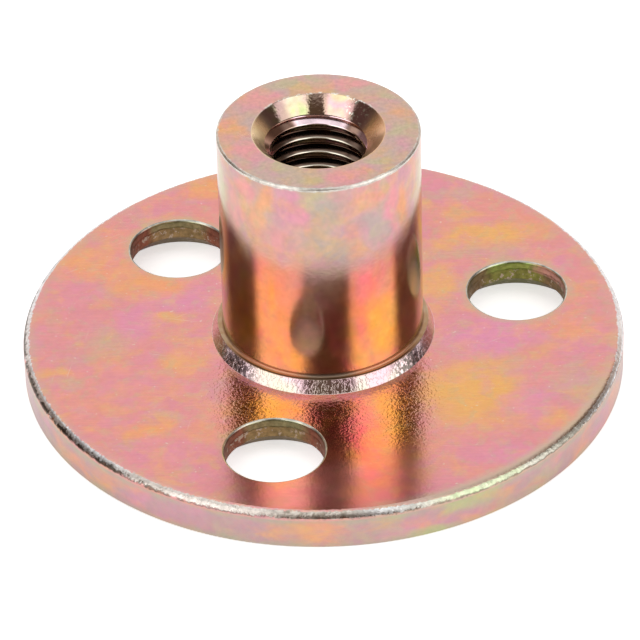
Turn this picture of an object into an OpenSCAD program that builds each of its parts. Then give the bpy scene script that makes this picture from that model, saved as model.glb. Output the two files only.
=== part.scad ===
// Round-base tee nut: one forged and turned steel part, a round flange with three screw holes and a
// threaded barrel that stands on it. Millimetres, +Z along the thread, origin at the centre of the
// flange's underside. The thread itself is left as its tapping bore.

/* [Flange] */
// Diameter of the round flange
flange_d = 54; // [48:0.5:80]
// Thickness of the flange
flange_t = 3.7; // [3:0.1:6]
// Radius of the roll round the flange's top edge
flange_roll = 0.8; // [0.3:0.05:1.2]
// How far the roll stops short of the side wall, which leaves a crisp corner there
flange_corner = 0.05; // [0.01:0.01:0.2]
// Width of the small bevel round the flange's bottom edge
flange_bevel = 0.2; // [0.05:0.05:0.5]

/* [Barrel] */
// Outside diameter of the barrel
barrel_d = 18; // [16:0.5:24]
// Height of the barrel above the flange
barrel_h = 21.5; // [10:0.5:60]
// Width of the bevel round the barrel's top edge
barrel_bevel = 0.15; // [0.05:0.05:0.5]

/* [Collar at the foot of the barrel] */
// How far the collar stands out from the barrel where it meets the flange
collar_foot = 1; // [0.85:0.05:1.5]
// How far the collar's upper edge stands out from the barrel
collar_lip = 0.45; // [0.45:0.05:0.8]
// Height of the collar's steep side
collar_h = 1.25; // [0.5:0.05:3]
// Width of the bevel on the collar's upper edge
collar_bevel = 0.1; // [0.05:0.05:0.15]
// Radius of the hollow fillet from the collar's shoulder into the barrel
shoulder_fillet = 0.2; // [0.05:0.05:0.3]

/* [Thread] */
// Nominal diameter of the thread
thread_d = 10; // [6:1:12]
// Pitch of the thread
thread_pitch = 1.5; // [0.75:0.25:2]
// How far the countersunk mouth opens past the thread's nominal radius
mouth_margin = 0.85; // [0.2:0.05:1.5]
// Full angle of the countersunk mouth
mouth_angle = 90; // [60:5:120]
// Width of the bevel where the bore leaves the underside
bore_bevel = 0.6; // [0.2:0.05:1]

/* [Screw holes] */
// Number of screw holes
screw_holes = 3; // [2:1:6]
// Diameter of a screw hole
screw_hole_d = 8.8; // [4:0.1:9.5]
// Distance from a screw hole's axis to the flange's rim
screw_hole_inset = 8.7; // [8:0.1:10]
// Radius of the roll round a screw hole's top edge
screw_hole_roll = 0.25; // [0.1:0.05:0.5]
// Depth of the countersink in the underside for a screw's head
screw_sink_depth = 1.8; // [0.5:0.1:2.2]
// Full angle of that countersink
screw_sink_angle = 90; // [60:5:100]

/* [Hidden] */
$fn = 96;
overcut = 0.5;          // how far a cutter runs past the face that it leaves

flange_r = flange_d / 2;
barrel_r = barrel_d / 2;
nut_h = flange_t + barrel_h;
collar_z = flange_t + collar_h;
tap_r = (thread_d - thread_pitch) / 2;
mouth_r = thread_d / 2 + mouth_margin;
screw_hole_r = screw_hole_d / 2;
screw_sink_r = screw_hole_r + screw_sink_depth * tan(screw_sink_angle / 2);
screw_circle_r = flange_r - screw_hole_inset;

// Half-section of the flange: rolled over at the top with a crisp corner, bevelled at the bottom.
module flange_section() {
    roll_centre = [flange_r - flange_roll + flange_corner, flange_t - flange_roll];
    difference() {
        polygon([[0, 0], [flange_r - flange_bevel, 0], [flange_r, flange_bevel], [flange_r, flange_t],
                 [0, flange_t]]);
        translate(roll_centre) difference() {
            square(flange_roll + overcut);
            circle(flange_roll);
        }
    }
}

// Half-section of the collar: a steep tapered side, a narrow flat shoulder, and a small hollow
// fillet from the shoulder into the barrel.
module collar_section() {
    taper = (collar_foot - collar_lip) / collar_h;
    polygon([[0, 0], [barrel_r + collar_foot, 0], [barrel_r + collar_foot, flange_t],
             [barrel_r + collar_lip + collar_bevel * taper, collar_z - collar_bevel],
             [barrel_r + collar_lip - collar_bevel, collar_z], [0, collar_z]]);
    difference() {
        translate([0, flange_t]) square([barrel_r + shoulder_fillet, collar_h + shoulder_fillet]);
        translate([barrel_r + shoulder_fillet, collar_z + shoulder_fillet]) circle(shoulder_fillet);
    }
}

// Half-section of the barrel, with its top edge bevelled.
module barrel_section() {
    polygon([[0, 0], [barrel_r, 0], [barrel_r, nut_h - barrel_bevel], [barrel_r - barrel_bevel, nut_h],
             [0, nut_h]]);
}

// Cutter for a countersink whose face is z = 0 and whose hole runs down from it.
module countersink(face_r, hole_r, angle) {
    slope = tan(angle / 2);
    depth = (face_r - hole_r) / slope;
    translate([0, 0, -depth - overcut])
        cylinder(h = depth + 2 * overcut, r1 = hole_r - overcut * slope, r2 = face_r + overcut * slope);
}

// Cutter for the rolled rim of a hole whose face is z = 0.
module rolled_rim(hole_r, roll) {
    rotate_extrude() translate([hole_r + roll, -roll]) difference() {
        translate([-roll - overcut, 0]) square([roll + overcut, roll + overcut]);
        circle(roll);
    }
}

// Cutter for the tapping bore, its countersunk mouth and the bevel at its lower end.
module threaded_bore() {
    translate([0, 0, -overcut]) cylinder(h = nut_h + 2 * overcut, r = tap_r);
    translate([0, 0, nut_h]) countersink(mouth_r, tap_r, mouth_angle);
    mirror([0, 0, 1]) countersink(tap_r + bore_bevel, tap_r, 90);
}

// Cutter for one screw hole: pierced from above with a rolled rim, countersunk from below.
module screw_hole() {
    translate([0, 0, -overcut]) cylinder(h = flange_t + 2 * overcut, r = screw_hole_r);
    translate([0, 0, flange_t]) rolled_rim(screw_hole_r, screw_hole_roll);
    mirror([0, 0, 1]) countersink(screw_sink_r, screw_hole_r, screw_sink_angle);
}

module tee_nut() {
    color([0.87, 0.62, 0.55]) difference() {
        rotate_extrude() {
            flange_section();
            collar_section();
            barrel_section();
        }
        threaded_bore();
        for (i = [0 : screw_holes - 1])
            rotate(i * 360 / screw_holes) translate([screw_circle_r, 0, 0]) screw_hole();
    }
}

tee_nut();
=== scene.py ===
"""Tee nut: a steel barrel nut on a round flange with three countersunk screw holes.

It is plated in iridescent yellow zinc, and the thread runs right through it.
Lengths are in metres, angles in radians. The first screw hole points along +X.
"""

import math

import bmesh
import bpy
from bpy.props import FloatProperty, FloatVectorProperty, IntProperty, PointerProperty
from mathutils import Matrix, Vector


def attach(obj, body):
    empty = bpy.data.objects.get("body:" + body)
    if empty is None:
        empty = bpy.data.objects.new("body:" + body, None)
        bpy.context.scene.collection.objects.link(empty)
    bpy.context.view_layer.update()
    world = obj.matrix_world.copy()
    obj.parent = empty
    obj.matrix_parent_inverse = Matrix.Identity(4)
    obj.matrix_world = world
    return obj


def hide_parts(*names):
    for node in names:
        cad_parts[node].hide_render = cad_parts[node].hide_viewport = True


bl_info = {
    "name": "Plated tee nut",
    "version": (1, 0, 0),
    "blender": (4, 5, 0),
    "location": "3D View > Sidebar > Tee Nut",
    "description": "Builds a plated steel tee nut and the studio that it stands in",
    "category": "Add Mesh",
}

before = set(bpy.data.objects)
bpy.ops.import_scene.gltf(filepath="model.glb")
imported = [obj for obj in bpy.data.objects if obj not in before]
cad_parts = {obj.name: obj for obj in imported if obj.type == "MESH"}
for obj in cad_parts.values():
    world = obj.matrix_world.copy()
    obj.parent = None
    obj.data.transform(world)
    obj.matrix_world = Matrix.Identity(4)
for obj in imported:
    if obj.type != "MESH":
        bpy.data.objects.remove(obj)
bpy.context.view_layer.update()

MM = 0.001
NUT = "plated_tee_nut"
NODE = "tee_nut"
# Material slots of the nut, in order
FLANGE, BARREL, PIERCED, TAPPED = range(4)
# Steps of the turned shapes in one full turn
BODY_STEPS = 432
HOLE_STEPS = 96
THREAD_STEPS = 72
# Rounding of the small unnamed corners
CRISP = 0.00008
SOFT = 0.00012
# Points nearer than this are one
MERGE = 1e-7
# Edges that turn by more than this stay sharp
SHARP = math.radians(32)
# The floor's half side, and its clearance under the nut
FLOOR_HALF = 3.0
FLOOR_GAP = 0.00002


def length(name, about, default, low=0.0):
    return FloatProperty(
        name=name,
        description=about,
        default=default,
        min=low,
        unit="LENGTH",
        subtype="DISTANCE",
        precision=5,
    )


def angle(name, about, degrees):
    return FloatProperty(
        name=name,
        description=about,
        default=math.radians(degrees),
        unit="ROTATION",
        subtype="ANGLE",
    )


def colour(name, about, default):
    return FloatVectorProperty(
        name=name,
        description=about,
        default=default,
        size=3,
        min=0.0,
        max=1.0,
        subtype="COLOR",
    )


class NutSizes(bpy.types.PropertyGroup):
    flange_d: length("Flange diameter", "Across the round flange", 0.054)
    flange_t: length("Flange thickness", "Thickness of the flange plate", 0.0037)
    flange_roll: length("Flange roll", "Radius of the rolled top edge", 0.0008)
    flange_corner: length("Roll's corner", "How far the roll is cut off by the rim", 0.00005)
    flange_bevel: length("Flange bevel", "Small bevel under the rim", 0.0002)
    barrel_d: length("Barrel diameter", "Across the barrel", 0.018)
    barrel_h: length("Barrel height", "Barrel's height above the flange", 0.0215)
    barrel_bevel: length("Barrel bevel", "Broken edge round the barrel's mouth", 0.00015)
    collar_foot: length("Collar foot", "How far the collar stands out at its foot", 0.001)
    collar_lip: length("Collar lip", "How far it stands out at its lip", 0.00045)
    collar_h: length("Collar height", "Height of the collar's tapered side", 0.00125)
    thread_back: length("Thread phase", "Height of the groove at the bore's far wall", 0.02349)
    crest_round: length("Thread crest", "Rounding of the thread's crests", 0.00015)
    shoulder_r: length("Shoulder fillet", "Hollow fillet from the collar into the barrel", 0.0002)
    lip_r: length("Collar's edge", "Rounding of the collar's upper edge", 0.00012)
    tap_r: length("Bore radius", "Radius of the bore at the crests", 0.00425)
    mouth_r: length("Mouth radius", "Radius of the countersunk mouth", 0.00585)
    bore_bevel: length("Bore bevel", "Bevel of the bore under the flange", 0.0006)
    thread_d: length("Thread diameter", "Major diameter of the thread", 0.010)
    pitch: length("Pitch", "Rise of the thread in one turn", 0.0015)
    hole_d: length("Screw hole", "Diameter of each screw hole", 0.0088)
    hole_circle: length("Hole circle", "Radius that the screw holes stand on", 0.0183)
    hole_roll: length("Hole roll", "Rolled upper rim of each screw hole", 0.00025)
    sink_depth: length("Sink depth", "Depth of the countersink underneath", 0.0018)
    holes: IntProperty(name="Holes", description="Number of screw holes", default=3, min=1)


class PlatingLooks(bpy.types.PropertyGroup):
    rose: colour("Rose", "Rose pink film, the commonest", (0.765, 0.315, 0.328))
    mauve: colour("Mauve", "Mauve film", (0.76, 0.30, 0.45))
    orange: colour("Orange", "Orange film", (0.88, 0.395, 0.175))
    gold: colour("Gold", "Golden film", (0.85, 0.48, 0.135))
    sage: colour("Sage", "Grey-green film", (0.56, 0.49, 0.30))
    pale: colour("Pale", "Thin pale film on worked edges", (0.80, 0.79, 0.70))
    # Umber and straw are painted reflections on the barrel: a dark patch low on its front, and the
    # flange mirrored in its lower half
    umber_reflection: colour("Umber", "Dark film low on the barrel's front", (0.34, 0.20, 0.13))
    straw_reflection: colour("Straw", "Straw film on the barrel's lower half", (0.80, 0.68, 0.34))
    dust: colour("Dusty pink", "Dull pink film on the barrel's upper half", (0.60, 0.39, 0.38))
    lime: colour("Lime", "Pale green film at the barrel's sides", (0.64, 0.63, 0.37))
    pink: colour("Pink", "Clear pink film on the barrel's wall", (0.86, 0.34, 0.36))
    ash: colour("Ash", "Grey film on the barrel's wall", (0.46, 0.42, 0.38))
    # Blush, amber, magenta, wine and olive are painted reflections, in pools in the plate ahead of
    # the collar and low on the barrel
    blush_reflection: colour("Blush", "Thin pale pink film near the front screw hole", (0.90, 0.47, 0.52))
    amber_reflection: colour("Amber", "Clear golden film low on the barrel", (0.86, 0.64, 0.25))
    magenta_reflection: colour("Magenta", "Bright magenta film ahead of the collar", (0.86, 0.22, 0.34))
    wine_reflection: colour("Wine", "Deep red film at the collar's front", (0.34, 0.07, 0.10))
    olive_reflection: colour("Olive", "Dull golden olive film low on the barrel's sides", (0.60, 0.43, 0.12))
    bronze: colour("Bronze", "Olive bronze of the pierced walls", (0.42, 0.38, 0.20))
    patch: length("Patch", "Width of the film's patches", 0.0085)


class StudioSettings(bpy.types.PropertyGroup):
    lens: FloatProperty(
        name="Lens", description="Focal length", default=297.94, unit="CAMERA"
    )
    distance: length("Distance", "From the lens to the aim point", 0.47881)
    shift_x: length("Sideways", "Camera's sideways step", -0.0003638, -1.0)
    shift_y: length("Upwards", "Camera's upward step", 0.0036512, -1.0)
    down: angle("Down", "How far the camera looks down", 36.472)
    roll: angle("Roll", "Camera's roll", -1.456)
    swing: angle("Swing", "The view's turn about the barrel", 15.68)


# ---------------------------------------------------------------- mesh tools


def new_piece(name, bm, materials):
    """Makes the mesh object of one piece; its place is in its mesh."""
    mesh = bpy.data.meshes.new(name)
    bm.to_mesh(mesh)
    bm.free()
    for material in materials:
        mesh.materials.append(material)
    piece = bpy.data.objects.new(name, mesh)
    bpy.context.scene.collection.objects.link(piece)
    return piece


def section_face(bm, corners):
    """A flat face in the XZ plane; each corner is (x, z, rounding radius, segments)."""
    verts = [bm.verts.new((x, 0, z)) for x, z, _, _ in corners]
    bm.faces.new(verts)
    plan = []
    for i, (_, _, radius, segments) in enumerate(corners):
        if not radius:
            continue
        here = verts[i].co
        before = verts[i - 1].co - here
        after = verts[(i + 1) % len(verts)].co - here
        turn = math.pi - before.angle(after)
        plan.append((verts[i], radius * math.tan(turn / 2), segments))
    for vert, reach, segments in plan:
        bmesh.ops.bevel(
            bm,
            geom=[vert],
            offset=reach,
            offset_type="OFFSET",
            segments=segments,
            profile=0.5,
            affect="VERTICES",
            clamp_overlap=False,
            material=-1,
        )


def lathe(corners, steps, centre=(0, 0, 0)):
    """Turns a closed section about the vertical through the centre into a solid."""
    bm = bmesh.new()
    section_face(bm, corners)
    bmesh.ops.delete(bm, geom=list(bm.faces), context="FACES_ONLY")
    axis_edges = [e for e in bm.edges if all(v.co.x < 1e-9 for v in e.verts)]
    bmesh.ops.delete(bm, geom=axis_edges, context="EDGES")
    bmesh.ops.spin(
        bm,
        geom=list(bm.verts) + list(bm.edges),
        cent=(0, 0, 0),
        axis=(0, 0, 1),
        angle=2 * math.pi,
        steps=steps,
        use_merge=True,
    )
    bmesh.ops.remove_doubles(bm, verts=bm.verts, dist=MERGE)
    bmesh.ops.dissolve_degenerate(bm, edges=bm.edges, dist=MERGE / 10)
    bmesh.ops.recalc_face_normals(bm, faces=bm.faces)
    bmesh.ops.translate(bm, verts=bm.verts, vec=Vector(centre))
    return bm


def cut(body, cutter_bm, slot_index, materials):
    """Takes a solid out of the body; the cut faces get the slot's material."""
    for face in cutter_bm.faces:
        face.material_index = slot_index
    cutter = new_piece("cutter", cutter_bm, materials)
    cutter.hide_render = True
    knife = body.modifiers.new("cut", "BOOLEAN")
    knife.operation = "DIFFERENCE"
    knife.solver = "EXACT"
    knife.object = cutter
    depsgraph = bpy.context.evaluated_depsgraph_get()
    cut_mesh = bpy.data.meshes.new_from_object(body.evaluated_get(depsgraph))
    body.modifiers.clear()
    old = body.data
    body.data = cut_mesh
    bpy.data.meshes.remove(old)
    tool_mesh = cutter.data
    bpy.data.objects.remove(cutter)
    bpy.data.meshes.remove(tool_mesh)
    if not cut_mesh.polygons:
        raise RuntimeError("a cut left nothing of the nut")


# ---------------------------------------------------------------- the nut


def body_corners(s):
    """The nut's half-section from the bore's foot outwards and back."""
    rim = s.flange_d / 2
    # The roll's arc about (arc_x, arc_z) ends in a corner at the side wall. The section
    # runs on from there along the arc's tangent, so that one rounding makes the arc
    arc_x = rim - s.flange_roll + s.flange_corner
    arc_z = s.flange_t - s.flange_roll
    dx = rim - arc_x
    dz = math.sqrt(s.flange_roll**2 - dx**2)
    lean = (s.flange_t - arc_z - dz) * dz / dx
    barrel = s.barrel_d / 2
    top = s.flange_t + s.barrel_h
    lip_z = s.flange_t + s.collar_h
    cone_z = top - (s.mouth_r - s.tap_r)
    return [
        (s.tap_r + s.bore_bevel, 0, CRISP, 2),
        (rim - s.flange_bevel, 0, CRISP, 2),
        (rim, s.flange_bevel, SOFT, 3),
        (rim, arc_z + dz, 0, 0),
        (rim - lean, s.flange_t, s.flange_roll, 14),
        (barrel + s.collar_foot, s.flange_t, CRISP, 3),
        (barrel + s.collar_lip, lip_z, s.lip_r, 5),
        (barrel, lip_z, s.shoulder_r, 5),
        (barrel, top - s.barrel_bevel, CRISP, 2),
        (barrel - s.barrel_bevel, top, CRISP, 2),
        (s.mouth_r, top, SOFT, 4),
        (s.tap_r, cone_z, 0, 0),
        (s.tap_r, s.bore_bevel, 0, 0),
    ]


def hole_corners(s):
    """The half-section of what a screw hole takes out, with room above and below."""
    r = s.hole_d / 2
    room = 0.001
    lift = 0.00002
    return [
        (0, -room, 0, 0),
        (r + s.sink_depth + room, -room, 0, 0),
        (r, s.sink_depth, CRISP, 3),
        (r, s.flange_t, s.hole_roll, 8),
        (r + room, s.flange_t + lift, 0, 0),
        (r + room, s.flange_t + room, 0, 0),
        (0, s.flange_t + room, 0, 0),
    ]


def hole_turns(s):
    """The angle of each screw hole about the barrel's axis."""
    return [2 * math.pi * i / s.holes for i in range(s.holes)]


def thread_cutter(s, swing):
    """The groove: a V with a rounded root, spun upwards through the whole bore."""
    major = s.thread_d / 2
    root = s.pitch / 16
    root_r = 0.00013
    crest = root + (major - s.tap_r) * math.tan(math.radians(30))
    # The groove's mouth flares just over the bore's wall, and its back stands in the air
    skim = 0.00001
    outer = crest + SOFT
    air = s.tap_r - 0.0003
    corners = [
        (air, outer, 0, 0),
        (s.tap_r - skim, outer, 0, 0),
        (s.tap_r + skim, crest, s.crest_round, 4),
        (major, root, root_r, 3),
        (major, -root, root_r, 3),
        (s.tap_r + skim, -crest, s.crest_round, 4),
        (s.tap_r - skim, -outer, 0, 0),
        (air, -outer, 0, 0),
    ]
    bm = bmesh.new()
    section_face(bm, corners)
    # It starts well below the flange, and a groove passes the far wall at its set height
    turns = 18
    turns_below = 16
    steps = turns * THREAD_STEPS
    start = s.thread_back - (math.pi / 2 - swing) / (2 * math.pi) * s.pitch - turns_below * s.pitch
    bmesh.ops.translate(bm, verts=bm.verts, vec=(0, 0, start))
    bmesh.ops.spin(
        bm,
        geom=list(bm.faces) + list(bm.edges) + list(bm.verts),
        cent=(0, 0, 0),
        axis=(0, 0, 1),
        dvec=(0, 0, s.pitch * turns / steps),
        angle=2 * math.pi * turns,
        steps=steps,
    )
    bmesh.ops.remove_doubles(bm, verts=bm.verts, dist=MERGE / 10)
    bmesh.ops.recalc_face_normals(bm, faces=bm.faces)
    if open_edges(bm):
        raise RuntimeError("the thread's cutter is open")
    return bm


def open_edges(bm):
    return [edge for edge in bm.edges if len(edge.link_faces) != 2]


class TEENUT_OT_nut(bpy.types.Operator):
    """Turn the nut's body, pierce its screw holes and tap its bore"""

    bl_idname = "teenut.nut"
    bl_label = "Plated nut"

    def execute(self, context):
        s = context.scene.nut_sizes
        looks = context.scene.nut_plating
        swing = context.scene.nut_studio.swing
        makers = (plated_flange, plated_barrel, pierced_wall, tapped_bore)
        materials = [make(looks, s, swing) for make in makers]
        body = lathe(body_corners(s), BODY_STEPS)
        just_above = s.flange_t + 0.00001
        for face in body.faces:
            high = face.calc_center_median().z > just_above
            face.material_index = BARREL if high else FLANGE
        nut = new_piece(NUT, body, materials)
        for turn in hole_turns(s):
            place = (s.hole_circle * math.cos(turn), s.hole_circle * math.sin(turn), 0)
            cut(nut, lathe(hole_corners(s), HOLE_STEPS, place), PIERCED, materials)
        cut(nut, thread_cutter(s, swing), TAPPED, materials)
        bm = bmesh.new()
        bm.from_mesh(nut.data)
        bmesh.ops.remove_doubles(bm, verts=bm.verts, dist=2 * MERGE)
        bmesh.ops.dissolve_degenerate(bm, edges=bm.edges, dist=MERGE)
        if open_edges(bm):
            raise RuntimeError("the nut's mesh is open")
        for face in bm.faces:
            face.smooth = True
        for edge in bm.edges:
            edge.smooth = edge.calc_face_angle(0) < SHARP
        bm.to_mesh(nut.data)
        bm.free()
        even = nut.modifiers.new("even_normals", "WEIGHTED_NORMAL")
        even.keep_sharp = True
        even.weight = 50
        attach(nut, "root")
        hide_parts(NODE)
        return {"FINISHED"}


# ---------------------------------------------------------------- materials


class Graph:
    """Adds nodes to one node tree."""

    def __init__(self, tree):
        self.tree = tree
        tree.nodes.clear()

    def add(self, kind, values=None, **settings):
        node = self.tree.nodes.new(kind)
        for key, value in settings.items():
            setattr(node, key, value)
        for key, value in (values or {}).items():
            self.feed(node.inputs[key], value)
        return node

    def feed(self, socket, value):
        if isinstance(value, bpy.types.NodeSocket):
            self.tree.links.new(value, socket)
        else:
            socket.default_value = value

    def math(self, operation, a, b=0.0):
        return self.add("ShaderNodeMath", {0: a, 1: b}, operation=operation).outputs[0]

    def times(self, a, b):
        return self.math("MULTIPLY", a, b)

    def plus(self, a, b):
        return self.math("ADD", a, b)

    def less(self, a, b):
        return self.math("SUBTRACT", a, b)

    def rest(self, share):
        """What the share leaves of one."""
        return self.math("SUBTRACT", 1.0, share)

    def size(self, value):
        return self.math("ABSOLUTE", value)

    def ramp(self, value, low, high):
        """A smooth rise from nothing at low to one at high."""
        node = self.add(
            "ShaderNodeMapRange",
            {"Value": value, "From Min": low, "From Max": high},
            interpolation_type="SMOOTHSTEP",
        )
        return node.outputs["Result"]

    def window(self, value, low, high, soft):
        """One between two levels, fading to nothing outside them."""
        rise = self.ramp(value, low - soft, low + soft)
        fall = self.ramp(value, high - soft, high + soft)
        return self.times(rise, self.rest(fall))

    def spread(self, noise, low, high):
        """A noise's middle values spread over a range of levels."""
        levels = {"From Min": 0.3, "From Max": 0.7, "To Min": low, "To Max": high}
        return self.add("ShaderNodeMapRange", {"Value": noise, **levels}).outputs[0]

    def mix(self, share, a, b, blend="MIX"):
        node = self.add("ShaderNodeMix", data_type="RGBA", blend_type=blend)
        self.feed(node.inputs[0], share)
        for key, shade in ((6, a), (7, b)):
            linked = isinstance(shade, bpy.types.NodeSocket)
            self.feed(node.inputs[key], shade if linked else (*shade, 1.0))
        return node.outputs[2]

    def parts(self, vector):
        return self.add("ShaderNodeSeparateXYZ", {"Vector": vector}).outputs

    def vector(self, **parts):
        return self.add("ShaderNodeCombineXYZ", parts).outputs[0]

    def flat(self, vector):
        """The vector without its height."""
        x, y, _ = self.parts(vector)
        return self.vector(X=x, Y=y)

    def laid(self, vector, kind="POINT", **places):
        """The vector moved, turned and scaled."""
        values = {"Vector": vector, **places}
        return self.add("ShaderNodeMapping", values, vector_type=kind).outputs[0]

    def vector_math(self, operation, a, b, out="Vector"):
        node = self.add("ShaderNodeVectorMath", {0: a, 1: b}, operation=operation)
        return node.outputs[out]

    def length(self, vector):
        return self.vector_math("LENGTH", vector, (0, 0, 0), "Value")

    def noise(self, vector, scale, detail=2.0, rough=0.5, distortion=0.0, out="Fac"):
        values = {"Vector": vector, "Scale": scale, "Detail": detail}
        values.update({"Roughness": rough, "Distortion": distortion})
        return self.add("ShaderNodeTexNoise", values).outputs[out]


class Surface(Graph):
    """A material's node tree, its shader and the place in the object."""

    def __init__(self, name, metallic=1.0):
        self.material = bpy.data.materials.new(name)
        self.material.use_nodes = True
        super().__init__(self.material.node_tree)
        out = self.add("ShaderNodeOutputMaterial")
        self.shader = self.add("ShaderNodeBsdfPrincipled", {"Metallic": metallic})
        self.feed(out.inputs["Surface"], self.shader.outputs["BSDF"])
        self.place = self.add("ShaderNodeTexCoord").outputs["Object"]
        # Distance from the barrel's axis, and height, both in millimetres
        x, y, z = self.parts(self.place)
        self.r = self.times(self.length(self.vector(X=x, Y=y)), 1 / MM)
        self.z = self.times(z, 1 / MM)

    def finish(self, tint, rough):
        """Gives the shader its colour and roughness."""
        self.feed(self.shader.inputs["Base Color"], tint)
        self.feed(self.shader.inputs["Roughness"], rough)

    def relief(self, height, depth):
        bump = self.add("ShaderNodeBump", {"Height": height, "Strength": 1.0, "Distance": depth})
        self.feed(self.shader.inputs["Normal"], bump.outputs[0])


class Plating(Surface):
    """A plated surface, with the directions that its film follows."""

    def __init__(self, name, looks, sizes, swing):
        super().__init__(name)
        self.looks = looks
        self.sizes = sizes
        # Turned so that X runs along the rolling streaks and -Y to the front
        self.turned = self.laid(self.place, Rotation=(0, 0, swing))
        self.x, self.y, _ = self.parts(self.turned)
        # The angle about the axis from the front, plus to the right
        self.turn = self.math("ARCTAN2", self.x, self.times(self.y, -1.0))

    def patches(self, size, low, high, squash=(1, 1, 1), offset=(0, 0, 0), detail=1.5):
        """Soft patches of a size in metres, from one level of a noise to another."""
        where = self.laid(self.place, Location=offset, Scale=squash)
        return self.ramp(self.noise(where, 1 / size, detail, 0.5, 0.5), low, high)

    def film(self, ground, strength=1.0, squash=(1, 1, 1), offset=(0, 0, 0)):
        """The chromate film: soft patches of one colour over another."""
        looks = self.looks
        tint = ground
        layers = (
            (looks.mauve, 1.1, 0.013, 0.44, 0.72, 0.70),
            (looks.orange, 0.9, 0.029, 0.42, 0.72, 0.80),
            (looks.sage, 0.75, 0.057, 0.52, 0.76, 0.80),
            (looks.gold, 0.70, 0.041, 0.54, 0.74, 0.60),
        )
        for shade, width, shift, low, high, amount in layers:
            moved = [o + shift for o in offset]
            mask = self.patches(looks.patch * width, low, high, squash, moved, 3.0)
            tint = self.mix(self.times(mask, amount * strength), tint, shade)
        return tint

    def pools(self, place, spots, tint):
        """Lays soft pools over the film, with wandering edges."""
        drift = self.noise(place, 260.0, 3.0, out="Color")
        drift = self.vector_math("SUBTRACT", drift, (0.5, 0.5, 0.5))
        drift = self.add("ShaderNodeVectorMath", {0: drift, "Scale": 0.005}, operation="SCALE")
        where = self.vector_math("ADD", place, drift.outputs[0])
        for shade, x, y, long, wide, amount in spots:
            spot = self.laid(
                where, "TEXTURE", Location=(x * MM, y * MM, 0), Scale=(long * MM, wide * MM, 1.0)
            )
            mask = self.rest(self.ramp(self.length(spot), 0.3, 1.4))
            tint = self.mix(self.times(mask, amount), tint, getattr(self.looks, shade))
        return tint

    def freckles(self, tint, amount):
        """Millimetre-wide flecks of grey-green, mauve and gold in the film."""
        looks = self.looks
        flecks = ((looks.sage, 0.0013, 0.1), (looks.mauve, 0.0021, 0.2), (looks.gold, 0.0024, 0.3))
        for shade, size, shift in flecks:
            mask = self.patches(size, 0.47, 0.70, offset=(shift, 0, 0), detail=3.0)
            tint = self.mix(self.times(mask, amount), tint, shade)
        return tint

    def shaded(self, tint, level):
        grey = self.vector(X=level, Y=level, Z=level)
        return self.mix(1.0, tint, grey, "MULTIPLY")

    def mottle(self, tint, size, amount):
        """Small uneven lights and darks in the film."""
        uneven = self.noise(self.place, 1 / size, 3.0, 0.6)
        return self.shaded(tint, self.spread(uneven, 1 - amount, 1 + amount))


class Shade:
    """Colours of the worked and worn places, and of painted shade and highlights."""

    SIDE_SHADED = (0.54, 0.35, 0.36)
    SIDE_EDGES = (0.47, 0.44, 0.33)
    MOSS = (0.50, 0.56, 0.26)
    RIM_GREY = (0.56, 0.51, 0.37)
    RIM_GREEN = (0.58, 0.76, 0.38)
    BARE_COOL = (0.90, 0.94, 0.96)
    BARE_WARM = (0.68, 0.68, 0.58)
    BARE_FRONT = (0.76, 0.72, 0.66)
    SCUFF_DARK = (0.30, 0.27, 0.20)
    SCUFF_PALE = (0.66, 0.62, 0.54)
    TORN_SHADE = (0.06, 0.05, 0.035)
    FACE = (0.585, 0.42, 0.38)
    FACE_VEIL = (0.58, 0.50, 0.44)
    WORN_EDGE = (0.80, 0.79, 0.72)
    CONE_PINK = (0.76, 0.44, 0.50)
    CONE_STRAW = (0.70, 0.54, 0.34)
    CONE_SAGE = (0.55, 0.60, 0.36)
    CONE_GREEN = (0.48, 0.60, 0.26)
    CONE_BACK_SHADE = (0.42, 0.33, 0.20)
    CONE_SHADE = (0.34, 0.19, 0.20)
    LIT_FLANK_RIGHT = (0.88, 0.60, 0.30)
    LIT_FLANK_LEFT = (1.0, 0.82, 0.52)
    NICKS = (0.85, 0.84, 0.78)
    COLLAR_PINK = (0.77, 0.54, 0.59)
    COLLAR_SAGE = (0.71, 0.67, 0.51)
    COLLAR_SHADE = (0.10, 0.07, 0.08)
    COLLAR_GLINT = (0.80, 0.62, 0.66)
    SHOULDER_DARK = (0.44, 0.27, 0.15)
    SHOULDER_PALE = (0.50, 0.36, 0.24)
    FOOT_SHADE = (0.56, 0.26, 0.15)
    FOOT_SHADE_AHEAD = (0.26, 0.19, 0.14)
    CREASE_SHADE = (0.11, 0.07, 0.045)
    TORN_OLIVE = (0.43, 0.39, 0.20)
    TORN_GREEN = (0.34, 0.45, 0.11)
    PUNCHED_OLIVE = (0.40, 0.46, 0.26)
    PUNCHED_GREEN = (0.40, 0.62, 0.15)
    WALL_WINE = (0.42, 0.155, 0.115)
    WALL_BROWN = (0.34, 0.25, 0.16)
    WALL_PINK = (0.98, 0.56, 0.52)
    BORE_SHADE = (0.155, 0.10, 0.075)
    CREST_HIGHLIGHT = (0.90, 0.86, 0.72)
    FIRST_SHADE = (0.42, 0.26, 0.20)
    FIRST_LIT = (0.98, 0.76, 0.82)
    FIRST_LIT_PINK = (0.98, 0.66, 0.76)
    FLOOR = (0.9, 0.9, 0.9)
    FLOOR_SHADE = (0.62, 0.42, 0.34)


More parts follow.
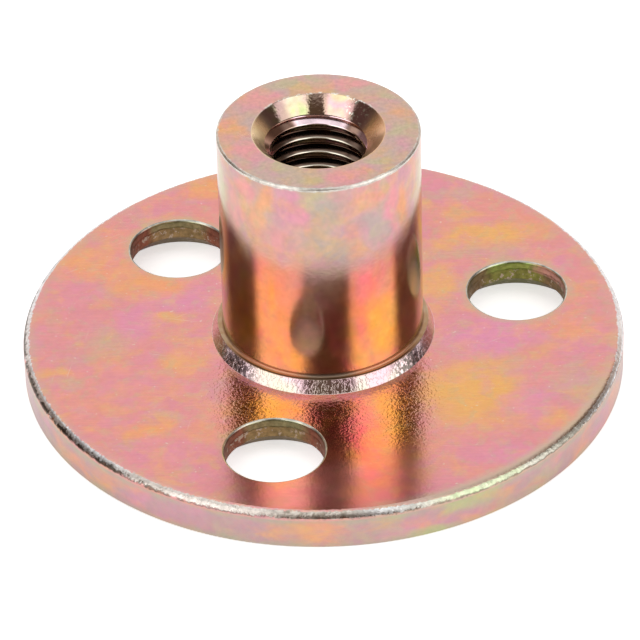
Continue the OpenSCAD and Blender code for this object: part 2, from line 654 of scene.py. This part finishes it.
# Soft pools in the plate's film: shade, x, y, half length, half width, amount.
# Millimetres; the length runs with the rolling streaks.
PLATE_POOLS = (
    ("orange", -21.6, 10.6, 3.4, 2.6, 0.7),
    ("orange", -11.0, 21.8, 3.0, 1.8, 0.7),
    ("orange", -14.9, 7.3, 3.2, 1.7, 0.8),
    ("mauve", -12.7, 4.9, 2.6, 1.6, 0.7),
    ("gold", -14.3, 2.1, 2.2, 1.2, 0.68),
    ("mauve", -16.7, 1.9, 1.8, 2.0, 0.6),
    ("sage", -19.4, -1.2, 2.6, 2.8, 0.36),
    ("gold", -24.1, -5.2, 1.6, 1.2, 0.68),
    ("sage", -23.2, -7.1, 1.6, 0.9, 0.42),
    ("gold", -12.9, -4.3, 1.6, 1.3, 0.51),
    ("orange", -16.0, -14.5, 2.2, 1.6, 0.8),
    ("sage", -14.4, -12.7, 1.9, 0.7, 0.36),
    ("sage", 13.1, 20.5, 2.2, 1.4, 0.48),
    ("gold", 16.1, 13.8, 4.2, 1.9, 0.77),
    ("gold", 11.4, 13.1, 2.4, 1.1, 0.59),
    ("gold", 10.6, 6.0, 1.8, 3.0, 0.68),
    ("gold", 13.4, 17.2, 2.0, 1.2, 0.55),
    ("mauve", 21.0, 8.8, 2.4, 2.0, 0.5),
    ("mauve", 15.4, -1.9, 4.4, 3.0, 0.85),
    # The next seven pools, ahead of the collar, are the barrel's painted reflection in the plate
    ("blush_reflection", -2.0, -23.6, 4.6, 3.2, 0.85),
    ("gold", -4.6, -12.2, 2.3, 1.8, 0.85),
    ("wine_reflection", 0.3, -14.0, 1.7, 3.8, 0.8),
    ("magenta_reflection", 2.8, -15.8, 1.0, 4.4, 0.95),
    ("orange", -3.1, -12.6, 1.6, 1.5, 0.7),
    ("blush_reflection", 0.8, -21.8, 2.2, 2.4, 0.9),
    ("gold", 6.0, -14.0, 1.7, 3.6, 0.6),
    ("gold", 13.1, -10.3, 4.6, 5.4, 0.81),
    ("mauve", 18.3, -11.6, 2.4, 3.0, 0.7),
    ("sage", 23.0, -9.5, 2.6, 3.4, 0.51),
    ("mauve", 14.5, -19.2, 3.4, 1.6, 0.6),
    ("orange", 22.3, -0.9, 2.6, 2.1, 0.6),
)

# The same on the barrel's wall: x runs round it from the front, y is the height.
WALL_POOLS = (
    ("lime", -11.8, 20.6, 1.9, 3.6, 0.75),
    ("orange", -5.0, 22.8, 1.0, 1.9, 0.65),
    ("pink", -7.2, 23.6, 1.2, 1.2, 0.65),
    ("orange", -6.6, 21.0, 1.5, 1.8, 0.5),
    ("pink", -8.8, 20.6, 1.0, 2.6, 0.5),
    ("mauve", -2.5, 23.2, 1.3, 2.3, 0.65),
    ("sage", -0.3, 24.2, 1.6, 1.3, 0.9),
    ("ash", 0.2, 22.2, 1.9, 2.0, 0.8),
    ("pink", -3.8, 19.4, 2.0, 1.6, 0.5),
    ("ash", 0.6, 19.2, 2.9, 2.4, 0.7),
    ("orange", 4.2, 23.3, 1.5, 1.9, 0.5),
    ("sage", 5.5, 24.3, 0.7, 1.3, 0.6),
    ("pink", 6.7, 21.8, 1.1, 2.2, 0.65),
    ("ash", 5.4, 19.6, 1.1, 2.2, 0.65),
    ("orange", 2.9, 19.3, 0.9, 1.6, 0.4),
    ("lime", 11.9, 20.2, 1.8, 3.8, 0.75),
    ("orange", 8.6, 21.4, 0.9, 2.2, 0.7),
    # The pools from here on lie low on the barrel and paint reflections there: the mirrored flange
    # and the studio's dark bands
    ("amber_reflection", -5.1, 13.2, 1.6, 3.0, 0.6),
    ("amber_reflection", -5.4, 7.6, 2.4, 3.6, 0.95),
    ("pink", 4.1, 14.3, 1.6, 2.2, 0.65),
    ("amber_reflection", 5.7, 7.9, 1.5, 3.0, 0.6),
    ("rose", 3.4, 10.2, 1.1, 2.6, 0.6),
    ("olive_reflection", -8.2, 10.0, 2.2, 7.0, 0.9),
    ("sage", -12.6, 11.5, 2.2, 8.0, 0.9),
    ("amber_reflection", 8.6, 10.0, 2.2, 6.0, 0.75),
    ("sage", 12.4, 12.0, 2.2, 8.0, 0.9),
    ("umber_reflection", 1.8, 9.8, 1.1, 5.4, 0.42),
    ("blush_reflection", -1.1, 11.4, 1.2, 4.0, 0.6),
)

# And on the turned end face, x and y as on the plate.
FACE_POOLS = (
    ("orange", -7.6, 0.5, 1.2, 1.8, 0.88),
    ("pink", -5.0, 5.2, 1.8, 1.3, 0.88),
    ("sage", -1.6, 7.4, 3.2, 0.9, 0.9),
    ("pink", 2.6, 7.4, 2.2, 0.9, 0.88),
    ("orange", 7.0, 2.6, 1.3, 1.4, 0.62),
    ("sage", 6.1, 5.2, 1.2, 0.8, 0.75),
    ("sage", 8.0, -0.9, 1.1, 2.3, 1.0),
    ("pink", -6.3, -2.9, 1.6, 1.6, 0.88),
    ("sage", -3.9, -4.9, 1.3, 1.1, 1),
    ("sage", -0.7, -7.4, 1.6, 0.9, 1),
    ("pink", 1.8, -6.9, 1.3, 1.0, 0.75),
    ("orange", 3.6, -6.6, 1.0, 0.9, 0.62),
    ("sage", 5.6, -4.9, 1.3, 0.9, 0.88),
)


def flange_side(g):
    """The side wall's film, duller and darker than the plate's, the darkness a painted shade, and
    greyer at its edges.
    """
    side = g.film(Shade.SIDE_SHADED, 0.7, (1.5, 1.5, 3.0), (0.05, 0, 0))
    ragged = g.times(g.noise(g.place, 300.0, 3.0, 0.6), 2.2)
    fringe = g.size(g.less(g.z, 1.55))
    fringe = g.ramp(g.plus(fringe, ragged), 1.7, 2.7)
    side = g.mix(g.times(fringe, 0.75), side, Shade.SIDE_EDGES)
    green = g.patches(0.0045, 0.38, 0.60, (1, 1, 1.5), (0.6, 0, 0))
    green = g.times(g.window(g.turn, 0.20, 0.60, 0.15), green)
    return g.mix(g.times(green, 0.6), side, Shade.MOSS)


def handling_marks(g, tint, on_top):
    """A few faint scratches and specks, on the upper face only."""
    for heading, shift in ((-0.25, 0.2), (0.5, 0.7), (-1.1, 0.4)):
        line = g.laid(g.place, Rotation=(0, 0, heading))
        line = g.laid(line, Location=(shift,) * 3, Scale=(190.0, 7500.0, 150.0))
        scratch = g.times(on_top, g.ramp(g.noise(line, 1.0, 1.0, 0.5), 0.76, 0.83))
        tint = g.mix(g.times(scratch, 0.30), tint, g.looks.pale)
    speck = g.times(on_top, g.ramp(g.noise(g.place, 3100.0, 1.0, 0.5), 0.74, 0.79))
    return g.mix(g.times(speck, 0.35), tint, g.looks.pale)


def hole_halos(g, tint):
    """Pale grey film round each screw hole, thinner at the front."""
    s = g.sizes
    haze = g.less(0.5, g.times(g.window(g.turn, -0.5, 0.5, 0.2), 0.35))
    for turn in hole_turns(s):
        x, y = s.hole_circle * math.cos(turn), s.hole_circle * math.sin(turn)
        gap = g.vector_math("DISTANCE", g.place, (x, y, s.flange_t), "Value")
        ragged = g.times(g.noise(g.place, 500.0, 3.0, 0.6), 0.0022)
        halo = g.rest(g.ramp(g.plus(gap, ragged), 0.0055, 0.0066))
        tint = g.mix(g.times(halo, haze), tint, g.looks.sage)
    return tint


def rim_scuff(g):
    """The dull stretch of the rim at the front."""
    return g.window(g.turn, -0.20, 0.12, 0.08)


def rim_metal(g):
    """Bare bright metal on the flange's roll, partly a painted highlight, scuffed ahead and green
    at the right.
    """
    worn = g.mix(g.window(g.turn, 0.25, 1.0, 0.12), Shade.BARE_COOL, Shade.BARE_WARM)
    worn = g.mix(g.window(g.turn, -0.75, 0.1, 0.12), worn, Shade.BARE_FRONT)
    scuff = g.patches(0.0007, 0.38, 0.60, offset=(0.9, 0, 0), detail=3.0)
    scuff = g.mix(scuff, Shade.SCUFF_DARK, Shade.SCUFF_PALE)
    worn = g.mix(g.times(rim_scuff(g), 0.8), worn, scuff)
    green = g.patches(0.003, 0.40, 0.62, offset=(0.2, 0, 0))
    green = g.plus(0.45, g.times(green, 0.5))
    green = g.times(g.window(g.turn, 0.37, 0.66, 0.06), green)
    worn = g.mix(green, worn, Shade.RIM_GREEN)
    return g.shaded(worn, g.spread(g.noise(g.place, 2400.0, 3.0, 0.7), 0.62, 1.15))


def plated_flange(looks, s, swing):
    g = Plating("plated_flange", looks, s, swing)
    place, r, z, turn = g.place, g.r, g.z, g.turn
    rim = s.flange_d / 2 / MM
    top = s.flange_t / MM
    wall = g.rest(g.ramp(z, top - 0.85, top - 0.55))
    on_top = g.ramp(z, top - 0.3, top - 0.1)
    on_rim = g.ramp(r, rim - 0.75, rim - 0.6)
    tint = g.film(looks.rose, 0.6)
    tint = g.pools(g.flat(g.turned), PLATE_POOLS, tint)
    tint = g.freckles(tint, 0.30)
    tint = g.mix(wall, tint, flange_side(g))
    # Rolling streaks run across the plate
    streak = g.noise(g.laid(g.turned, Scale=(300.0, 6500.0, 300.0)), 1.0, 2.0, 0.6)
    tint = g.mix(on_top, tint, g.shaded(tint, g.spread(streak, 0.975, 1.025)))
    tint = g.mottle(tint, 0.0011, 0.03)
    tint = handling_marks(g, tint, on_top)
    tint = g.mix(0.10, tint, g.noise(place, 2600.0, 3.0, out="Color"), "OVERLAY")
    tint = hole_halos(g, tint)
    # The film thins and greys towards the worked rim
    ragged = g.times(g.noise(place, 700.0, 3.0, 0.6), 0.9)
    near_rim = g.times(g.ramp(g.plus(r, ragged), rim - 1.2, rim - 0.1), g.rest(wall))
    greyed = g.plus(0.22, g.times(g.window(turn, 0.2, 1.2, 0.2), 0.5))
    tint = g.mix(g.times(near_rim, greyed), tint, Shade.RIM_GREY)
    # Bare metal from just under the top down to the torn line, partly a painted highlight: it
    # starts lower on the right, where the highlight sits lower
    wobble = g.times(g.less(g.noise(place, 2600.0, 4.0, 0.75), 0.5), 0.75)
    start = g.times(g.window(turn, 0.2, 1.3, 0.2), 0.10)
    under = g.less(g.less(g.less(top, z), start), g.times(wobble, 0.3))
    torn_at = g.plus(0.38, g.times(g.ramp(turn, -0.75, -0.35), 0.13))
    below = g.less(g.less(top, g.plus(z, wobble)), torn_at)
    bare_and_sheen = g.times(g.ramp(under, 0.02, 0.07), g.rest(g.ramp(below, -0.10, 0.04)))
    bare_and_sheen = g.times(bare_and_sheen, on_rim)
    tint = g.mix(g.times(bare_and_sheen, 0.92), tint, rim_metal(g))
    # The torn dark line under the bare metal, widest on the left; its darkness is partly painted
    # shade
    left = g.rest(g.ramp(turn, -0.72, -0.42))
    torn_shade = g.rest(g.ramp(g.less(g.size(below), g.times(left, 0.07)), 0.04, 0.13))
    patchy = g.ramp(g.noise(place, 700.0, 3.0, 0.6), 0.34, 0.50)
    torn_shade = g.times(g.times(torn_shade, on_rim), g.times(patchy, 0.9))
    torn_shade = g.times(torn_shade, g.plus(0.55, g.times(left, 0.45)))
    torn_shade = g.times(torn_shade, g.rest(g.times(rim_scuff(g), 0.5)))
    tint = g.mix(torn_shade, tint, Shade.TORN_SHADE)
    # Glossy by the collar, duller towards the rim
    inner = g.rest(g.ramp(r, 11.5, 21.0))
    rough = g.spread(g.noise(place, 300.0, 3.0), 0.12, 0.17)
    rough = g.less(rough, g.times(inner, 0.07))
    rough = g.plus(rough, g.times(g.ramp(r, 17.0, 24.0), 0.04))
    rough = g.plus(rough, g.times(wall, 0.03))
    g.finish(tint, g.plus(rough, g.times(bare_and_sheen, 0.10)))
    # Orange-peel grain, strongest round the collar, and the torn rim
    peel = g.ramp(g.noise(place, 3600.0, 2.0, 0.6), 0.38, 0.66)
    height = g.times(peel, g.plus(0.07, g.times(inner, 0.62)))
    height = g.plus(height, g.times(streak, 0.04))
    torn_height = g.less(g.noise(place, 2600.0, 3.0, 0.7), 0.5)
    torn_height = g.times(g.times(on_rim, torn_height), g.rest(wall))
    g.relief(g.plus(height, g.times(torn_height, 2.5)), 0.000016)
    return g.material


def end_face(g):
    """The turned end face's dull sage film."""
    face = g.film(Shade.FACE, 0.6, (1.7, 1.7, 1), (0.021, 0.014, 0))
    face = g.pools(g.flat(g.turned), FACE_POOLS, face)
    face = g.mix(0.15, face, Shade.FACE_VEIL)
    return g.mottle(g.freckles(face, 0.35), 0.0004, 0.10)


def mouth_cone(g, lit_flanks):
    """The countersunk mouth's pale film, streaked green and pink, with painted highlights on its
    flanks and painted shade at the back and at its sides.
    """
    place, turn, around = g.place, g.turn, g.size(g.turn)
    spots = g.patches(0.0035, 0.40, 0.65)
    streaks = g.patches(0.0018, 0.50, 0.66, (1, 1, 0.4), (0.4, 0, 0))
    leftward = g.rest(g.ramp(g.x, -0.0022, 0.0002))
    cone = g.mix(spots, Shade.CONE_PINK, Shade.CONE_STRAW)
    cone = g.mix(g.times(leftward, 0.5), cone, Shade.CONE_SAGE)
    greener = g.plus(0.45, g.times(leftward, 0.5))
    cone = g.mix(g.times(streaks, greener), cone, Shade.CONE_GREEN)
    # Painted highlight on the flanks, and painted shade at the back and in a band on each side
    flank = g.mix(leftward, Shade.LIT_FLANK_RIGHT, Shade.LIT_FLANK_LEFT)
    cone = g.mix(g.times(lit_flanks, 0.75), cone, flank)
    back_shade = g.ramp(around, 2.92, 3.02)
    cone = g.mix(g.times(back_shade, 0.7), cone, Shade.CONE_BACK_SHADE)
    dark = g.window(around, 2.12, 2.60, 0.10)
    cone = g.mix(g.times(dark, 0.65), cone, Shade.CONE_SHADE)
    cone = g.mottle(cone, 0.0009, 0.14)
    speck = g.ramp(g.noise(place, 2300.0, 2.0, 0.7), 0.55, 0.60)
    speck = g.times(speck, g.window(turn, 2.15, 2.62, 0.08))
    return g.mix(g.times(speck, 0.9), cone, g.looks.pale)


def mouth_nicks(g):
    """Bright nicks on the far part of the mouth's upper edge."""
    nicks = g.ramp(g.noise(g.place, 1900.0, 3.0, 0.7), 0.50, 0.58)
    nicks = g.times(g.window(g.r, 5.80, 6.02, 0.05), nicks)
    return g.times(nicks, g.ramp(g.size(g.turn), 2.0, 2.4))


def collar_side(g):
    """The collar's tapered side, burnished, with crisp painted shade and glints at its sides."""
    spots = g.patches(0.004, 0.35, 0.65, offset=(0.3, 0, 0))
    burnish = g.mix(spots, Shade.COLLAR_PINK, Shade.COLLAR_SAGE)
    shaded_sides = g.window(g.size(g.turn), 0.68, 1.15, 0.10)
    crisp = g.ramp(g.noise(g.place, 2600.0, 3.0, 0.7), 0.46, 0.56)
    dark = g.mix(crisp, Shade.COLLAR_SHADE, Shade.COLLAR_GLINT)
    return g.mix(g.times(shaded_sides, 0.8), burnish, dark)


def collar_gouges(g, wall):
    """Fine gouges that run down the collar's side."""
    x, y, _ = g.parts(wall)
    along = g.vector(X=x, Y=g.times(y, 0.45))
    coarse = g.ramp(g.noise(along, 3600.0, 3.0, 0.6), 0.47, 0.58)
    fine = g.noise(along, 5600.0, 3.0, 0.6)
    return g.plus(g.times(coarse, 0.9), g.times(fine, 0.45))


def plated_barrel(looks, s, swing):
    g = Plating("plated_barrel", looks, s, swing)
    place, r, z, turn = g.place, g.r, g.z, g.turn
    top = (s.flange_t + s.barrel_h) / MM
    lip = (s.flange_t + s.collar_h) / MM
    # The straw ground of the lower half is a painted reflection of the flange
    lower = g.rest(g.ramp(z, 8.0, 19.0))
    ground = g.mix(lower, looks.dust, looks.straw_reflection)
    tint = g.film(ground, 0.6, (1.4, 1.4, 0.7), (0.011, 0.004, 0.002))
    # The wall unrolled: round it from the front, and up
    wall = g.vector(X=g.times(turn, s.barrel_d / 2), Y=g.times(z, MM))
    tint = g.pools(wall, WALL_POOLS, tint)
    tint = g.freckles(tint, 0.30)
    tint = g.mottle(tint, 0.0016, 0.06)
    tint = g.mottle(tint, 0.0005, 0.05)
    end = g.ramp(z, top - 0.12, top - 0.02)
    tint = g.mix(end, tint, end_face(g))
    inside = g.rest(g.ramp(r, 5.85, 5.95))
    lit_flanks = g.rest(g.ramp(g.size(turn), 1.85, 2.15))
    tint = g.mix(inside, tint, mouth_cone(g, lit_flanks))
    tint = g.mix(g.times(mouth_nicks(g), 0.8), tint, Shade.NICKS)
    # Worn outer edge of the end face
    ragged = g.times(g.noise(place, 1900.0, 3.0, 0.7), 0.40)
    edge = g.ramp(g.plus(z, ragged), top - 0.20, top - 0.06)
    edge = g.times(edge, g.ramp(g.plus(r, ragged), 8.92, 9.06))
    worn = g.shaded(Shade.WORN_EDGE, g.spread(g.noise(place, 1500.0, 3.0, 0.7), 0.55, 1.1))
    tint = g.mix(g.times(edge, 0.9), tint, worn)
    band = g.times(g.rest(g.ramp(z, lip - 0.05, lip)), g.ramp(r, 9.3, 9.4))
    tint = g.mix(band, tint, collar_side(g))
    # Dull film on the collar's shoulder and in its fillet; at the front it takes painted shade,
    # darkest in a thin line at the collar's lip
    shoulder = g.times(g.window(z, lip - 0.05, lip + 0.3, 0.06), g.ramp(r, 8.9, 8.99))
    blotch = g.patches(0.0012, 0.35, 0.65, offset=(0.7, 0, 0), detail=3.0)
    dull = g.mix(blotch, Shade.SHOULDER_DARK, Shade.SHOULDER_PALE)
    front = g.window(turn, -1.0, 1.0, 0.25)
    ahead = g.window(turn, -0.22, 0.30, 0.12)
    foot_shade = g.mix(ahead, Shade.FOOT_SHADE, Shade.FOOT_SHADE_AHEAD)
    tint = g.mix(shoulder, tint, g.mix(front, dull, foot_shade))
    crease_shade = g.times(g.window(r, 9.28, 9.45, 0.02), g.ramp(z, lip - 0.06, lip - 0.02))
    tint = g.mix(g.times(crease_shade, front), tint, Shade.CREASE_SHADE)
    rough = g.spread(g.noise(place, 500.0, 3.0), 0.13, 0.19)
    rough = g.plus(rough, g.times(end, 0.14))
    rough = g.plus(rough, g.times(inside, g.less(g.times(lit_flanks, 0.24), 0.11)))
    rough = g.less(rough, g.times(band, 0.07))
    rough = g.plus(rough, g.times(edge, 0.15))
    g.finish(tint, g.plus(rough, g.times(shoulder, 0.22)))
    peel = g.noise(place, 3600.0, 2.0, 0.5)
    height = g.times(peel, g.plus(0.2, g.times(inside, 0.5)))
    g.relief(g.plus(height, g.times(band, collar_gouges(g, wall))), 0.000012)
    return g.material


def pierced_wall(looks, s, swing):
    g = Plating("pierced_wall", looks, s, swing)
    place, x, z = g.place, g.x, g.z
    top = s.flange_t / MM
    # The punch burnished the upper band; below it the wall is torn
    burnished = g.ramp(g.plus(z, g.times(g.noise(place, 700.0), 0.5)), 3.05, 3.25)
    green = g.ramp(x, 0.008, 0.012)
    low = g.mix(green, Shade.TORN_OLIVE, Shade.TORN_GREEN)
    high = g.mix(green, Shade.PUNCHED_OLIVE, Shade.PUNCHED_GREEN)
    tint = g.mix(0.85, g.film(looks.bronze), g.mix(burnished, low, high))
    # Towards both ends of the wall that shows, the colour turns wine red, brown where the wall is
    # green
    ragged = g.times(g.noise(place, 600.0, 3.0, 0.6), 0.0016)
    nearest = 1.0
    for turn in hole_turns(s):
        offset = g.size(g.less(x, s.hole_circle * math.cos(turn + swing)))
        nearest = g.math("MINIMUM", nearest, offset)
    ends = g.ramp(g.plus(nearest, ragged), 0.0028, 0.0040)
    end_tint = g.mix(green, Shade.WALL_WINE, Shade.WALL_BROWN)
    tint = g.mix(g.times(ends, 0.9), tint, end_tint)
    patch = g.times(g.ramp(g.plus(x, ragged), 0.0199, 0.0211), g.ramp(z, 2.6, 2.9))
    tint = g.mix(g.times(patch, 0.9), tint, Shade.WALL_PINK)
    tint = g.mottle(tint, 0.0005, 0.30)
    glint = g.ramp(g.noise(place, 1700.0, 3.0, 0.7), 0.56, 0.62)
    tint = g.mix(g.times(glint, g.less(0.8, burnished)), tint, looks.pale)
    # The rolled rim's pale film is partly a painted highlight
    rim = g.ramp(z, top - 0.16, top - 0.06)
    tint = g.mix(rim, tint, g.shaded(looks.pale, g.spread(g.noise(place, 1500.0), 0.42, 0.85)))
    g.finish(tint, 0.28)
    # The countersink below is nearly smooth
    above_sink = g.plus(0.12, g.times(g.ramp(z, 1.65, 1.95), 0.88))
    rough_band = g.times(g.less(1.1, burnished), above_sink)
    g.relief(g.times(g.noise(place, 2600.0, 3.0, 0.6), rough_band), 0.00007)
    return g.material


def tapped_bore(looks, s, swing):
    g = Plating("tapped_bore", looks, s, swing)
    # Turns from the far wall, and height above the groove's middle there in pitches
    turn = g.math("DIVIDE", g.math("ARCTAN2", g.times(g.x, -1.0), g.y), 2 * math.pi)
    rise = g.math("DIVIDE", g.less(g.z, s.thread_back / MM), s.pitch / MM)
    climb = g.less(rise, turn)
    around = g.size(turn)
    # The bore's ground is painted dark as shade, and the crests are painted bright as a highlight,
    # most at the far wall
    worn = g.window(g.math("FRACT", climb), 0.60, 0.68, 0.03)
    worn = g.times(worn, g.rest(g.ramp(g.r, 4.36, 4.46)))
    worn = g.times(worn, g.rest(g.times(g.ramp(around, 0.06, 0.13), 0.85)))
    tint = g.mix(worn, Shade.BORE_SHADE, Shade.CREST_HIGHLIGHT)
    # The first groove lies open to the light, so its flank is painted with that light, pale pink,
    # and with painted shade beside it
    first = g.times(g.ramp(climb, -0.38, -0.34), g.rest(g.ramp(around, 0.36, 0.46)))
    lit = g.window(turn, -0.095, 0.075, 0.012)
    flank = g.mix(lit, Shade.FIRST_SHADE, Shade.FIRST_LIT)
    flank = g.mix(g.window(turn, -0.42, -0.155, 0.02), flank, Shade.FIRST_LIT_PINK)
    tint = g.mix(first, tint, flank)
    g.finish(g.mottle(tint, 0.0008, 0.12), 0.14)
    return g.material


# ---------------------------------------------------------------- the studio


def camera_axes(st):
    """The camera's right, up and forward directions."""
    down_cos, down_sin = math.cos(st.down), math.sin(st.down)
    roll_cos, roll_sin = math.cos(st.roll), math.sin(st.roll)
    right = Vector((1, 0, 0))
    ahead = Vector((0, down_cos, -down_sin))
    up = Vector((0, down_sin, down_cos))
    turn = Matrix.Rotation(-st.swing, 3, "Z")
    side = turn @ (right * roll_cos + up * roll_sin)
    top = turn @ (up * roll_cos - right * roll_sin)
    return side, top, turn @ ahead


def soft_boxes(g, az, el):
    """Two soft boxes in front, with the lens and its stand as a dim gap between them."""
    boxes = g.times(g.window(az, -81.0, 91.0, 5.0), g.ramp(el, 2.0, 6.0))
    # The gap is round above and long below
    gap_x = g.math("DIVIDE", g.less(az, 4.0), 27.0)
    above = g.less(el, 36.0)
    gap_z = g.math("MAXIMUM", g.math("DIVIDE", above, 34.0), g.math("DIVIDE", above, -69.0))
    gap = g.plus(g.times(gap_x, gap_x), g.times(gap_z, gap_z))
    gap = g.rest(g.ramp(g.math("SQRT", gap), 0.88, 1.10))
    return g.times(boxes, g.rest(gap))


def studio_light(g, az, el):
    """The light from each direction, from its azimuth and elevation in degrees."""
    sideways = g.size(az)
    # The back wall is bright behind the nut, and near the floor all along
    skirt = g.window(el, -30.0, 24.0, 9.0)
    back = g.ramp(sideways, 128.0, 152.0)
    back = g.math("MAXIMUM", back, g.times(g.ramp(sideways, 130.0, 146.0), skirt))
    side = g.times(g.window(sideways, 120.0, 150.0, 8.0), skirt)
    white = g.plus(g.times(back, 0.85), g.times(soft_boxes(g, az, el), 1.58))
    channels = {}
    for name, dim, flank in (("X", 0.145, 0.30), ("Y", 0.105, 0.18), ("Z", 0.085, 0.12)):
        channels[name] = g.plus(g.plus(white, g.times(side, flank)), dim)
    walls = g.vector(**channels)
    # Away from the front the ceiling's light comes further down
    left = g.ramp(g.times(az, -1.0), 86.0, 94.0)
    right = g.times(g.ramp(az, 94.0, 102.0), 0.6)
    high = g.times(g.math("MAXIMUM", left, right), g.ramp(el, 43.0, 50.0))
    low = g.times(g.rest(g.ramp(el, 58.0, 68.0)), g.rest(high))
    ceiling = g.plus(0.85, g.times(g.ramp(el, 72.0, 80.0), 0.4))
    ceiling = g.plus(ceiling, g.times(left, 0.2))
    return g.mix(low, g.vector(X=ceiling, Y=ceiling, Z=ceiling), walls)


def studio_world(scene, st):
    """Lights the nut by direction alone; the camera itself sees plain white."""
    world = bpy.data.worlds.new("studio")
    world.use_nodes = True
    scene.world = world
    g = Graph(world.node_tree)
    out = g.add("ShaderNodeOutputWorld")
    ray = g.add("ShaderNodeTexCoord").outputs["Generated"]
    x, y, z = g.parts(g.laid(ray, Rotation=(0, 0, st.swing)))
    # Azimuth from the camera's side, plus to the right
    az = g.math("DEGREES", g.math("ARCTAN2", x, g.times(y, -1.0)))
    el = g.math("DEGREES", g.math("ARCSINE", z))
    light = studio_light(g, az, el)
    seen = g.add("ShaderNodeBackground", {"Color": (1, 1, 1, 1), "Strength": 1.0})
    lit = g.add("ShaderNodeBackground", {"Color": light, "Strength": 1.0})
    to_camera = g.add("ShaderNodeLightPath").outputs["Is Camera Ray"]
    mix = g.add("ShaderNodeMixShader", {0: to_camera, 1: lit.outputs[0], 2: seen.outputs[0]})
    g.feed(out.inputs["Surface"], mix.outputs[0])


def pale_floor():
    """The floor's material, in the flange's shade where reflections see it."""
    g = Surface("pale_floor", metallic=0.0)
    path = g.add("ShaderNodeLightPath").outputs
    shade = g.times(path["Is Glossy Ray"], g.rest(g.ramp(g.r, 24.0, 27.0)))
    g.finish(g.mix(shade, Shade.FLOOR, Shade.FLOOR_SHADE), 0.9)
    glow = g.plus(0.3, g.times(path["Is Camera Ray"], 0.32))
    glow = g.times(glow, g.rest(g.times(shade, 0.6)))
    g.feed(g.shader.inputs["Emission Color"], (1, 1, 1, 1))
    g.feed(g.shader.inputs["Emission Strength"], glow)
    return g.material


def add_camera(scene, st):
    side, top, ahead = camera_axes(st)
    data = bpy.data.cameras.new("camera")
    data.sensor_fit = "HORIZONTAL"
    data.sensor_width = 36.0
    data.lens = st.lens
    data.clip_start = 0.01
    data.clip_end = 20.0
    camera = bpy.data.objects.new("camera", data)
    scene.collection.objects.link(camera)
    place = ahead * -st.distance + side * st.shift_x + top * st.shift_y
    turn = Matrix((side, top, -ahead)).transposed().to_4x4()
    camera.matrix_world = Matrix.Translation(place) @ turn
    scene.camera = camera


class TEENUT_OT_studio(bpy.types.Operator):
    """Lay the pale floor and set the lights and the camera"""

    bl_idname = "teenut.studio"
    bl_label = "Studio"

    def execute(self, context):
        scene = context.scene
        st = scene.nut_studio
        add_camera(scene, st)
        studio_world(scene, st)
        scene.view_settings.view_transform = "Standard"
        bm = bmesh.new()
        bmesh.ops.create_grid(bm, x_segments=1, y_segments=1, size=FLOOR_HALF)
        bmesh.ops.translate(bm, verts=bm.verts, vec=(0, 0, -FLOOR_GAP))
        floor = new_piece("floor", bm, [pale_floor()])
        return {"FINISHED"}


class TEENUT_PT_panel(bpy.types.Panel):
    """Buttons that build the nut and its studio"""

    bl_idname = "TEENUT_PT_panel"
    bl_label = "Tee Nut"
    bl_space_type = "VIEW_3D"
    bl_region_type = "UI"
    bl_category = "Tee Nut"

    def draw(self, context):
        for operator in OPERATORS:
            self.layout.operator(operator.bl_idname)


GROUPS = {
    "nut_sizes": NutSizes,
    "nut_plating": PlatingLooks,
    "nut_studio": StudioSettings,
}
OPERATORS = [TEENUT_OT_nut, TEENUT_OT_studio]


def register():
    for group in (*GROUPS.values(), *OPERATORS, TEENUT_PT_panel):
        bpy.utils.register_class(group)
    for name, group in GROUPS.items():
        setattr(bpy.types.Scene, name, PointerProperty(type=group))


def unregister():
    for name in GROUPS:
        delattr(bpy.types.Scene, name)
    for group in (TEENUT_PT_panel, *OPERATORS, *GROUPS.values()):
        bpy.utils.unregister_class(group)


def main():
    register()
    bpy.ops.teenut.nut()
    bpy.ops.teenut.studio()


if __name__ == "__main__":
    main()
